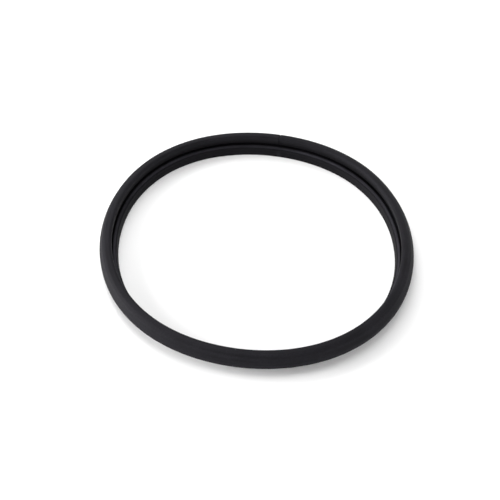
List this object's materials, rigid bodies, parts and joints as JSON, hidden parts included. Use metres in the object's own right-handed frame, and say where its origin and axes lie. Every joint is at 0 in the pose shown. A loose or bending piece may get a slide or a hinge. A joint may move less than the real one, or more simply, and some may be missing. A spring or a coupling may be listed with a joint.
{
  "type": "pressure cooker sealing ring",
  "caption": "Round black rubber lid gasket for a stovetop pressure cooker, with a thick upper bead, an inward pressure groove and a wedge-shaped sealing lip.",
  "frame": {"origin": "on the ring's axis, in the plane of the lip's flat foot that the ring rests on", "axes": "+Z along the ring's axis, from the sealing lip towards the bead; +X and +Y are radial and free, because the ring is round"},
  "size_m": [0.236, 0.236, 0.0174],
  "materials": {
    "rubber": "matt moulded black rubber with a fine satin bloom"
  },
  "bodies": {
    "root": {"seal_ring": "rubber"}
  },
  "joints": []
}
